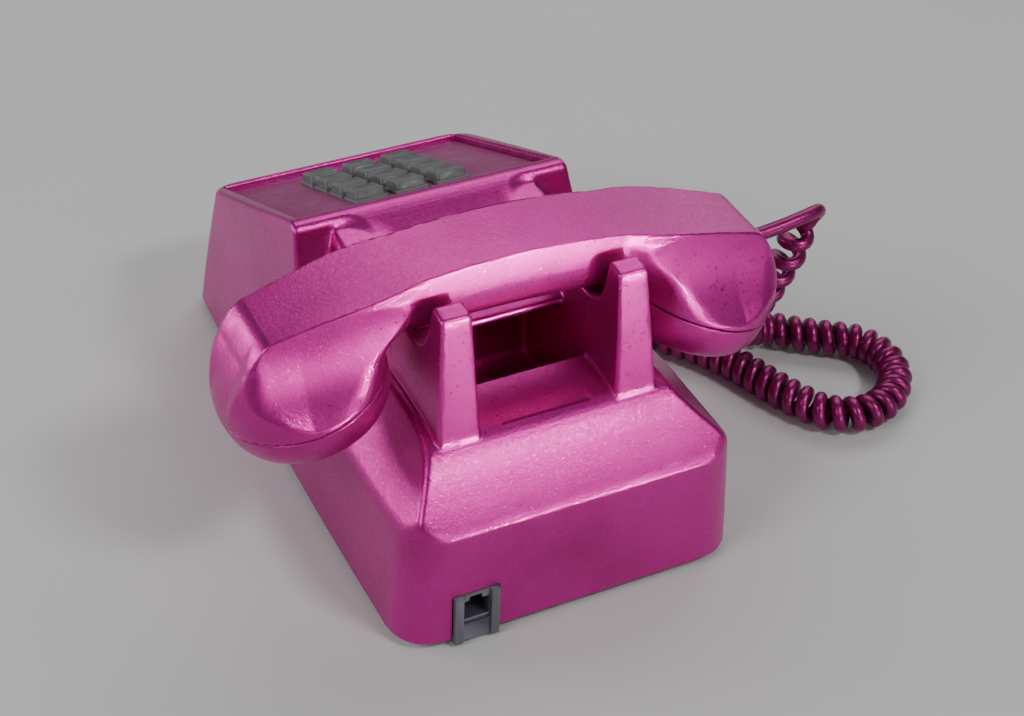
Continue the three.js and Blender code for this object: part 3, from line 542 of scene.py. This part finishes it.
NAMEPLATE_OUTLINE = soften([(91, 90, 0), (91, 72.4, 0.5), (86, 73.6, 9), (81.8, 74.1, 0.5), (81.8, 90, 0)])
NAMEPLATE_HALF_WIDTH = 17
CHEEK_INNER, CHEEK_OUTER, CHEEK_FOOT_Z = 26.0, 41.4, 76.0
CHEEK_INNER_LEAN, CHEEK_OUTER_LEAN = 0.025, 0.073
FLANK_X, FLANK_Z = 43.5, 75.8  # where the slanted flanks meet the cradle's top
FLANK_OUT, FLANK_UP = 0.8355, 0.5493
BOX_REAR_Y, BOX_REAR_Z, BOX_REAR_LEAN = -3, 100, 0.35  # the keypad box's rear wall above the flanks
HALF_WIDTH_REAR = 63.8
LEFT_BULGE = 6
LINE_JACK = {"x": (28.2, 45.2), "z_top": 23.0}
SIDE_JACK = {"y": (-27.0, -13.0), "x_inner": -47.0, "z_top": 19.5}
SCREW_YS = (109.0, -104.0)
BOSS_RADIUS, BOSS_BOTTOM, BOSS_TOP = 5.2, 6, 20
SCREW_HOLE_RADIUS, SCREW_HOLE_TOP = 2.2, 17
PLUNGER_X, PLUNGER_Y = 33.0, 57.0
PLUNGER_SLOT_X, PLUNGER_SLOT_Y = 3.3, 5.3  # half sizes
PLATE_WINDOW_HALF_WIDTH, PLATE_WINDOW_EDGE = 47.5, 7.5
SLIT = 0.3


def half_width(y, z):
    """The shell's half width: widest in the middle of its length, and drawn in towards the top."""
    from_rear = REAR_Y - y
    up = z - BOTTOM_Z
    return HALF_WIDTH_REAR + 0.0274 * from_rear - 0.0002 * from_rear**2 - 0.06 * up - 0.00035 * up**2


def left_bulge(y, z):
    """How much further the user's left side stands out behind the keypad box, up to the side crease."""
    return LEFT_BULGE * ease(y, -5, 70) * (1 - ease(z, 50.4, 80.2))


def face_place(y, z):
    """How far down the keypad slope a point is, and how far above the plane of its rim."""
    dy, dz = y - RIM_REAR_Y, z - RIM_REAR_Z
    down = -(dy * math.cos(FACE_SLOPE) + dz * math.sin(FACE_SLOPE))
    return down, dz * math.cos(FACE_SLOPE) - dy * math.sin(FACE_SLOPE)


def hull_field(x, y, z):
    """The outside of the shell without its cradle and recess."""
    x = x + left_bulge(y, z) * np.clip((-x - 20) / 40, 0, 1)
    side = (np.abs(x) - half_width(y, z)) * 0.997
    front = (-y - REAR_Y + (z - BOTTOM_Z) * math.tan(FRONT_LEAN)) * math.cos(FRONT_LEAN)
    plan = round_max(round_max(side, y - REAR_Y, 15), front, 11)
    hull = round_max(plan, outline_field(y, z, SIDE_PROFILE), 1.6)
    flank = (np.abs(x) - FLANK_X) * FLANK_OUT + (z - FLANK_Z) * FLANK_UP
    box_rear = (y - BOX_REAR_Y - (BOX_REAR_Z - z) * BOX_REAR_LEAN) * 0.944
    return round_max(hull, round_min(flank, box_rear, 9), 1.6)


def cheek_field(x, y, z):
    """The two cradle ears and the walls that run forward from them."""
    up = np.maximum(0, z - CHEEK_FOOT_Z)
    across = np.abs(x)
    outer = across - CHEEK_OUTER + CHEEK_OUTER_LEAN * up
    inner = CHEEK_INNER + CHEEK_INNER_LEAN * up - across
    sides = np.maximum(outer, inner)
    return round_max(outline_field(y, z, CHEEK_OUTLINE), sides, 1.5)


def housing_field(x, y, z):
    """The whole shell, with its hollow and every opening."""
    hull = hull_field(x, y, z)
    brow = round_max(outline_field(y, z, BROW_OUTLINE), np.abs(x) - CHEEK_OUTER + 0.8, 1.5)
    pocket = round_max(outline_field(y, z, POCKET_OUTLINE), np.abs(x) - CHEEK_INNER, 2.5)
    body = round_min(round_min(hull, brow, 2), cheek_field(x, y, z), 1.4 + 7 * (1 - ease(y, 12, 34)))
    body = cut_from(body, pocket, 1)
    hollow = cut_from(hull + WALL, pocket - WALL, 0.1)
    down, above = face_place(y, z)
    ledge = block([(down, 1, FACE_LENGTH - 1.5), (above, -8.4, -2.4), (x, -54, 54)])
    hollow = cut_from(hollow, ledge, 0.1)
    body = cut_from(body, hollow, 0.1)
    for screw_y in SCREW_YS:
        body = np.minimum(body, rod_field(x, y - screw_y, z, BOSS_RADIUS, BOSS_BOTTOM, BOSS_TOP))
        body = cut_from(body, rod_field(x, y - screw_y, z, SCREW_HOLE_RADIUS, 2, SCREW_HOLE_TOP), 0.1)
    recess = block([
        (down, RIM_WIDTH, FACE_LENGTH - RIM_WIDTH), (x, -FACE_HALF_WIDTH, FACE_HALF_WIDTH),
        (above, PLATE_BOTTOM - SLIT, 9)], 1.5)
    window = block([
        (down, PLATE_WINDOW_EDGE, FACE_LENGTH - PLATE_WINDOW_EDGE),
        (x, -PLATE_WINDOW_HALF_WIDTH, PLATE_WINDOW_HALF_WIDTH), (above, -14, 2)])
    nameplate = round_max(outline_field(y, z, NAMEPLATE_OUTLINE), np.abs(x) - NAMEPLATE_HALF_WIDTH, 0.6)
    line_gap = block([
        (x, LINE_JACK["x"][0] - SLIT, LINE_JACK["x"][1] + SLIT), (y, 95, 130),
        (z, -9, LINE_JACK["z_top"] + SLIT)])
    side_gap = block([
        (x, -90, SIDE_JACK["x_inner"]), (y, SIDE_JACK["y"][0] - SLIT, SIDE_JACK["y"][1] + SLIT),
        (z, -9, SIDE_JACK["z_top"] + SLIT)])
    slots = block([
        (np.abs(x), PLUNGER_X - PLUNGER_SLOT_X, PLUNGER_X + PLUNGER_SLOT_X),
        (y, PLUNGER_Y - PLUNGER_SLOT_Y, PLUNGER_Y + PLUNGER_SLOT_Y), (z, 60, 130)])
    openings = (
        (recess, 0.7), (window, 0.3), (nameplate, 0.15), (line_gap, 0.4), (side_gap, 0.4), (slots, 0.5))
    for tool, edge in openings:
        body = cut_from(body, tool, edge)
    return round_max(body, BOTTOM_Z - z, 0.8)


housing = carved("housing_shell", housing_field, (-74, -118, 1), (67, 118, 123), 1.15, 0.42)
finish_piece(housing, SHELL, "base", "shell_pink", "housing")

# ---- Handset, in its own frame: x along the grip, z up, the top of the arch at 0 ----
ARCH_TOP, HANDSET_TILT = (-0.9, 57.1, 127.8), math.radians(1.96)
HANDSET_PLACE = Matrix.Translation(Vector(ARCH_TOP) * MM) @ Matrix.Rotation(-HANDSET_TILT, 4, "Y")
PANEL_END_X = 95.0
END_ROLL_X = 91  # where the top starts to roll over at its ends
TOP_INSET = 0.05
GRIP_HALF_WIDTH, GRIP_DEPTH = 14.8, 26
GRIP_WIDEST, GRIP_BULGE = 0.42, 0.13  # share of the depth where the grip is widest, and by how much
CUP_X, CUP_Z, CUP_RADIUS, CUP_TILT = 76.0, -43.9, 30.1, 0.308
PANEL_MIDDLE_X, PANEL_REACH, PANEL_WIDE = 72.0, 22.4, 13.7
SCOOP_RADIUS, SCOOP_Y, SCOOP_Z, SCOOP_X, SCOOP_TURN = 40.5, 55.0, -11.6, 84.0, 0.093
SCOOP_RISE = 0.16  # how steeply the tool rises towards the grip
CUP_HEIGHT = 33.0
CUP_STRAIGHT, CUP_SHOULDER = 15, 7  # how far up its wall is straight, and how far under the panel it turns
WELL_RADIUS, WELL_SHOULDER, WELL_TOP, WELL_TAPER = 25.2, 1.8, 6.9, 1.8
SOCKET_SEAT = ((-125, -85.3), (-9, 2.8), (-35.9, -24.5))


def arch_z(x):
    """Height of the handset's arched top."""
    return -2.035e-3 * x**2 + 2.08e-8 * x**4


def cup_place(side, x, z):
    """Along and up in the frame of a cup's parting circle."""
    tilt = side * CUP_TILT
    dx, dz = x - side * CUP_X, z - CUP_Z
    return dx * math.cos(tilt) - dz * math.sin(tilt), dx * math.sin(tilt) + dz * math.cos(tilt)


def cup_levels():
    """Height share, centre and half sizes of a cup's section from the parting circle up to the panel."""
    u = np.linspace(0, 1, 60)
    b = [(1 - u) ** 3, 3 * u * (1 - u) ** 2, 3 * u**2 * (1 - u), u**3]
    height = b[1] * CUP_STRAIGHT + b[2] * (CUP_HEIGHT - CUP_SHOULDER) + b[3] * CUP_HEIGHT
    leaning = CUP_X + CUP_STRAIGHT * math.sin(CUP_TILT)
    centre = b[0] * CUP_X + b[1] * leaning + (b[2] + b[3]) * PANEL_MIDDLE_X
    along = (b[0] + b[1]) * CUP_RADIUS * math.cos(CUP_TILT) + b[2] * (PANEL_REACH + 8.5) + b[3] * PANEL_REACH
    across = (b[0] + b[1]) * CUP_RADIUS + b[2] * (PANEL_WIDE + 6) + b[3] * PANEL_WIDE
    return height / CUP_HEIGHT, centre, along, across, b[2] + b[3]


CUP_LEVELS = cup_levels()


def cup_field(side, x, y, z):
    """A cup: round at its parting circle, and squarer up to the panel that it grows out of."""
    share, centre, along, across, square = CUP_LEVELS
    _, above = cup_place(side, x, z)
    below = (arch_z(x) - 1.2 - z) * 0.94
    level = above / np.maximum(above + below, 1)
    c, a, w, q = (np.interp(level, share, table) for table in (centre, along, across, square))
    u, v = np.abs(x * side - c) / a, np.abs(y) / w
    soft = np.hypot(u, v)
    hard = (u**8 + v**8) ** 0.125
    return (soft + (hard - soft) * q - 1) * w


def grip_field(x, y, z):
    """The grip: a panel on top, widest a little under it, and round below."""
    top = arch_z(x)
    wide = GRIP_HALF_WIDTH - 0.9e-4 * x**2
    depth = GRIP_DEPTH + 0.7 * top - 0.08 * np.maximum(0, np.abs(x) - 40)
    t = np.maximum((top - z) / depth, -1)
    bulge = 1 + GRIP_BULGE * (1 - np.maximum(0, (GRIP_WIDEST - t) / GRIP_WIDEST) ** 1.3)
    low = np.maximum(0, t - GRIP_WIDEST) / (1 - GRIP_WIDEST)
    across = np.abs(y) / (wide * bulge)
    section = ((low**2.4 + across**2.4) ** (1 / 2.4) - 1) * wide
    return round_max(section, np.abs(x) - PANEL_END_X, 6)


def end_softness(x, y):
    """How much rounder than its side creases the top is across its ends."""
    return 3.5 * ease(np.abs(x), 87, 94) * (1 - ease(np.abs(y), 6, 12.5))


def scoop_field(x, y, z):
    """The round tool that hollows a cup's flank, raised towards the grip with the parting circle."""
    raised = z - SCOOP_Z - SCOOP_RISE * np.clip(82 - x, 0, 30)
    return np.hypot(y - SCOOP_Y + (x - SCOOP_X) * SCOOP_TURN, raised) - SCOOP_RADIUS


def scoop_edge(z):
    """How round the hollow's rim is: softest half way down, and crisp next to the parting circle."""
    return 0.6 + 2.2 * ease(-z, 17, 30) * (1 - ease(-z, 35, 41))


def handset_field(x, y, z):
    body = round_min(grip_field(x, y, z), cup_field(1, x, y, z), 8)
    body = round_min(body, cup_field(-1, x, y, z), 8)
    end = np.maximum(0, np.abs(x) - END_ROLL_X)
    steep = 4.07e-3 * np.abs(x) + 0.2 * end
    top = (z - arch_z(x) + TOP_INSET + 0.1 * end**2) / np.sqrt(1 + steep**2)
    body = round_max(body, top, 0.5 + end_softness(x, y))
    for side in (1, -1):
        body = cut_from(body, scoop_field(x * side, np.abs(y), z), scoop_edge(z))
        along, above = cup_place(side, x, z)
        low_side = np.minimum(-above, x * side - 33)
        body = round_max(body, low_side, 0.35)
        taper = WELL_TAPER * np.maximum(0, above - WELL_SHOULDER)
        well = np.maximum(np.hypot(along, y) - WELL_RADIUS + taper, above - WELL_TOP)
        body = cut_from(body, np.maximum(well, -above - 9), 0.1)
    seat = block([(value, *span) for value, span in zip((x, y, z), SOCKET_SEAT)], 0.3)
    return cut_from(body, seat, 0.4)


handset = carved("handset_shell", handset_field, (-108, -33, -56), (108, 33, 2), 0.95, 0.5, HANDSET_PLACE)
finish_piece(handset, SHELL, "handset", "shell_pink", "handset_body")

# Half of a cap's section: (distance from its axis, height over the parting circle, trim)
CAP_OUTLINE = soften([
    (-9, -17.6, 0), (9, -17.2, 9), (20, -16.6, 9), (25.2, -14.6, 9), (28.4, -10.6, 9), (29.7, -5.6, 9),
    (30.1, -0.3, 0.5), (26.6, -0.3, 0.5), (26.6, -5.4, 9), (25.4, -9.4, 9), (22.8, -12.2, 9), (19, -13.8, 9),
    (-9, -14.6, 0),
])
CAP_HOLE_RADIUS = 1.3


def cap_piece(name, side, rings, node):
    """A screw-on cap with a sound hole in the middle and more in rings of (count, radius)."""
    holes = [(0.0, 0.0)]
    for count, radius in rings:
        holes += [
            (radius * math.cos(2 * math.pi * i / count), radius * math.sin(2 * math.pi * i / count))
            for i in range(count)
        ]

    def field(x, y, z):
        solid = outline_field(np.hypot(x, y), z, CAP_OUTLINE)
        for cx, cy in holes:
            solid = cut_from(solid, rod_field(x - cx, y - cy, z, CAP_HOLE_RADIUS, -30, 0), 0.3)
        return solid

    tilt = Matrix.Rotation(side * CUP_TILT, 4, "Y")
    place = HANDSET_PLACE @ Matrix.Translation(Vector((side * CUP_X, 0, CUP_Z)) * MM) @ tilt
    cap = carved(name, field, (-31, -31, -19), (31, 31, 1), 0.7, 0.4, place)
    finish_piece(cap, SHELL, "handset", "shell_pink", node)


cap_piece("ear_cap_shell", 1, [(6, 7)], "ear_cap")
cap_piece("mouth_cap_shell", -1, [(6, 7), (10, 13)], "mouth_cap")

# ---- Keys ----
KEY_NAMES = ["1", "2", "3", "4", "5", "6", "7", "8", "9", "star", "0", "hash"]
KEY_PITCH_X, KEY_PITCH_F, KEY_FIRST_F = 16.64, 17.0, 24.2
# (half size, height above the rim's plane, corner radius) from the bottom of the skirt to the dished top
KEY_RINGS = [
    (6.5, -7.6, 0.8), (6.7, -7.4, 0.9), (6.7, -2.3, 0.9), (6.6, -2.0, 0.85), (6.4, -1.9, 0.8),
    (6.05, -1.9, 0.8), (5.9, -1.7, 0.8), (5.66, 0.5, 0.8), (5.46, 1.0, 0.85), (5.2, 1.22, 0.9),
    (4.8, 1.24, 1.0), (3.6, 1.05, 1.3), (1.8, 0.9, 1.2),
]
CORNER_STEPS = 5


def square_ring(half, radius):
    """Points round a square with rounded corners."""
    inner = (half - radius) * math.sqrt(2)
    points = []
    for corner in range(4):
        middle = math.pi / 2 * corner + math.pi / 4
        cx, cy = inner * math.cos(middle), inner * math.sin(middle)
        for step in range(CORNER_STEPS):
            angle = math.pi / 2 * (corner + step / (CORNER_STEPS - 1))
            points.append((cx + radius * math.cos(angle), cy + radius * math.sin(angle)))
    return points


def face_matrix():
    """Takes points drawn flat on the keypad's slope to their place on it."""
    turn = Matrix.Rotation(FACE_SLOPE, 4, "X")
    return Matrix.Translation(Vector((0, RIM_REAR_Y, RIM_REAR_Z)) * MM) @ turn


def key_piece(name, x, down):
    points = []
    for half, height, radius in KEY_RINGS:
        points += [(x + a, -down + b, height) for a, b in square_ring(half, radius)]
    mesh = bpy.data.meshes.new(name)
    mesh.from_pydata(
        [[c * MM for c in p] for p in points], [], ring_faces(len(KEY_RINGS), CORNER_STEPS * 4))
    mesh.polygons.foreach_set("use_smooth", np.ones(len(mesh.polygons), bool))
    mesh.transform(face_matrix())
    return link(name, mesh)


for number, key_name in enumerate(KEY_NAMES):
    row, column = divmod(number, 3)
    key = key_piece("keytop_" + key_name, (column - 1) * KEY_PITCH_X, KEY_FIRST_F + row * KEY_PITCH_F)
    finish_piece(key, KEY, "key_" + key_name, "key_gray", "key_" + key_name)


# ---- Pieces whose CAD shape is right, with their edges broken ----
SHARP_ANGLE, SHADE_BREAK_ANGLE = math.radians(35), math.radians(40)


def eased_copy(node, width):
    """A copy of a CAD node with its sharp edges rounded."""
    shape = bmesh.new()
    shape.from_mesh(frame["nodes"][node].data)
    bmesh.ops.remove_doubles(shape, verts=shape.verts, dist=1e-5)
    bmesh.ops.dissolve_limit(shape, angle_limit=math.radians(1), verts=shape.verts, edges=shape.edges)
    sharp = [e for e in shape.edges if len(e.link_faces) == 2 and e.calc_face_angle() > SHARP_ANGLE]
    bmesh.ops.bevel(
        shape, geom=sharp, offset=width * MM, segments=2, profile=0.6, affect="EDGES", clamp_overlap=True)
    mesh = bpy.data.meshes.new(node + "_eased")
    shape.to_mesh(mesh)
    shape.free()
    mesh.polygons.foreach_set("use_smooth", np.ones(len(mesh.polygons), bool))
    mesh.set_sharp_from_angle(angle=SHADE_BREAK_ANGLE)
    return link(node + "_eased", mesh)


slots = {part["node"]: part["material_slot"] for part in frame["record"]["subparts"]}
EASED = {"faceplate": 0.4, "line_jack": 0.35, "handset_jack": 0.3}  # width of the broken edge
for node, width in EASED.items():
    piece = eased_copy(node, width)
    finish_piece(piece, FINISHES[slots[node]], "base", slots[node], node)

for node, shown in frame["nodes"].items():
    shown.data.materials.clear()
    shown.data.materials.append(FINISHES[slots[node]])


# ---- Floor, lights and sky ----
FLOOR_REACH = 6.0
SKY_COLOUR, SKY_STRENGTH = (0.86, 0.88, 0.92, 1), 0.16


def make_floor():
    made = Finish("floor_paper", Roughness=0.8)
    paper = made.ramp(made.noise(3, 3), [(0.3, (0.60, 0.60, 0.59)), (0.7, (0.64, 0.64, 0.63))])
    made.set("Base Color", paper)
    mesh = bpy.data.meshes.new("floor")
    corners = [(x * FLOOR_REACH, y * FLOOR_REACH, 0) for x, y in ((-1, -1), (1, -1), (1, 1), (-1, 1))]
    mesh.from_pydata(corners, [], [(0, 1, 2, 3)])
    mesh.materials.append(made.material)
    floor = link("floor", mesh)


def area_light(name, place, target, size, power):
    """A soft rectangular light, hidden from the camera."""
    data = bpy.data.lights.new(name, "AREA")
    data.shape = "RECTANGLE"
    data.size, data.size_y = size
    data.energy = power
    light = bpy.data.objects.new(name, data)
    light.location = place
    light.visible_camera = False
    light.rotation_mode = "QUATERNION"
    light.rotation_quaternion = (Vector(target) - Vector(place)).to_track_quat("-Z", "Y")
    bpy.context.scene.collection.objects.link(light)
    return light


make_floor()
area_light("key_light", (-0.50, 0.98, 1.30), (0, 0.05, 0.06), (0.32, 0.22), 8)
area_light("window_light", (-0.35, 1.9, 0.55), (0, 0, 0.08), (1.5, 0.6), 5)
area_light("low_light", (-0.45, 1.9, 0.17), (0, 0.05, 0.08), (0.35, 0.22), 4)
beam_light = area_light("beam_light", (-0.40, 1.15, 0.12), (0.01, 0.05, 0.122), (0.08, 0.04), 0.06)
beam_light.data.spread = math.radians(10)
area_light("far_light", (1.4, -0.95, 0.4), (0, 0.05, 0.1), (0.7, 0.5), 9)
area_light("top_light", (-0.6, -0.95, 1.4), (0, 0, 0.06), (1.6, 0.9), 10)
area_light("back_light", (-1.25, -1.25, 0.55), (-0.08, 0.05, 0.1), (0.8, 0.5), 1.8)
area_light("side_light", (1.35, 0.45, 1.15), (0, 0, 0.06), (0.8, 0.6), 10)
world = bpy.data.worlds.new("sky")
world.use_nodes = True
world.node_tree.nodes["Background"].inputs["Color"].default_value = SKY_COLOUR
world.node_tree.nodes["Background"].inputs["Strength"].default_value = SKY_STRENGTH
bpy.context.scene.world = world
